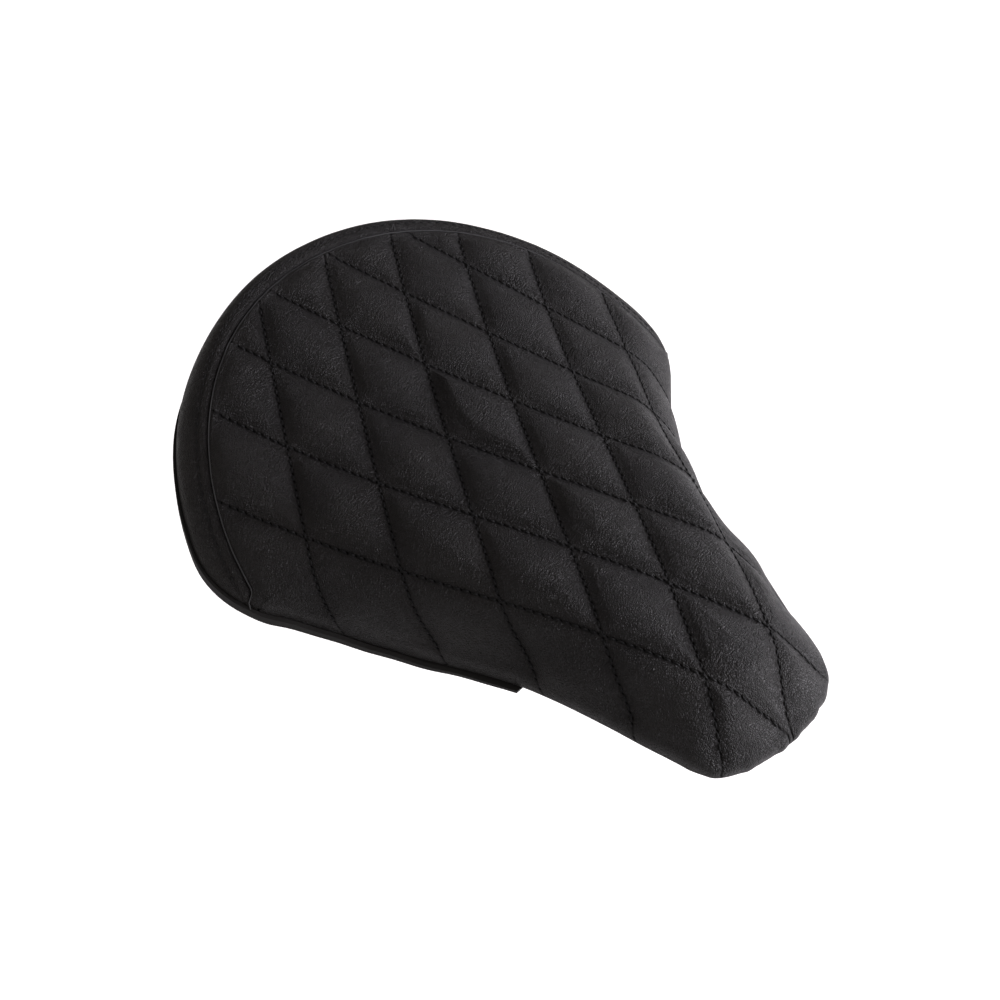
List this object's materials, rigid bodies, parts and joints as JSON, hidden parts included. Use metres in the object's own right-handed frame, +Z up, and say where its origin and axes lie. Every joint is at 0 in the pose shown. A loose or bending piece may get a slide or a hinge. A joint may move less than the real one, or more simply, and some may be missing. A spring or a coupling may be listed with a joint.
{
  "type": "motorcycle solo seat",
  "caption": "Sprung solo motorcycle seat with a diamond-quilted leather top on a steel pan, threaded rear spring bungs and a nose pivot bracket.",
  "frame": {"origin": "midway between the two rear spring bungs, on their lower faces, where the spring bolts enter", "axes": "+Z up, -Y towards the nose (front of the motorcycle), +X to the rider's left"},
  "size_m": [0.2754, 0.3316, 0.0839],
  "materials": {
    "leather": "semi-matte pebble grain, near black",
    "padding": "thin quilting foam with scrim",
    "foam": "moulded polyurethane foam",
    "trim": "matte black",
    "rivets": "satin",
    "pan_paint": "black powder coat",
    "zinc": "bright zinc plate",
    "bronze": "sintered bronze"
  },
  "bodies": {
    "seat": {"top_cover": "leather", "rear_band": "leather", "quilt_padding": "padding", "foam_cushion": "foam", "edge_trim": "trim", "cover_rivets": "rivets", "seat_pan": "pan_paint", "rear_plate": "pan_paint", "rear_bungs": "zinc", "pivot_bracket": "pan_paint", "bracket_bolts": "zinc", "bracket_washers": "zinc", "bracket_nuts": "zinc", "pivot_bolt": "zinc", "pivot_nut": "zinc", "pivot_washers": "zinc", "spacer_tube": "zinc"},
    "frame_mount": {"frame_bracket": "pan_paint", "pivot_bushings": "bronze"}
  },
  "joints": [
    {"name": "nose_pivot", "type": "hinge", "parent": "seat", "child": "frame_mount", "pos_m": [0, -0.135, -0.0048], "axis": [-1, 0, 0], "range_deg": [-12, 60]}
  ]
}
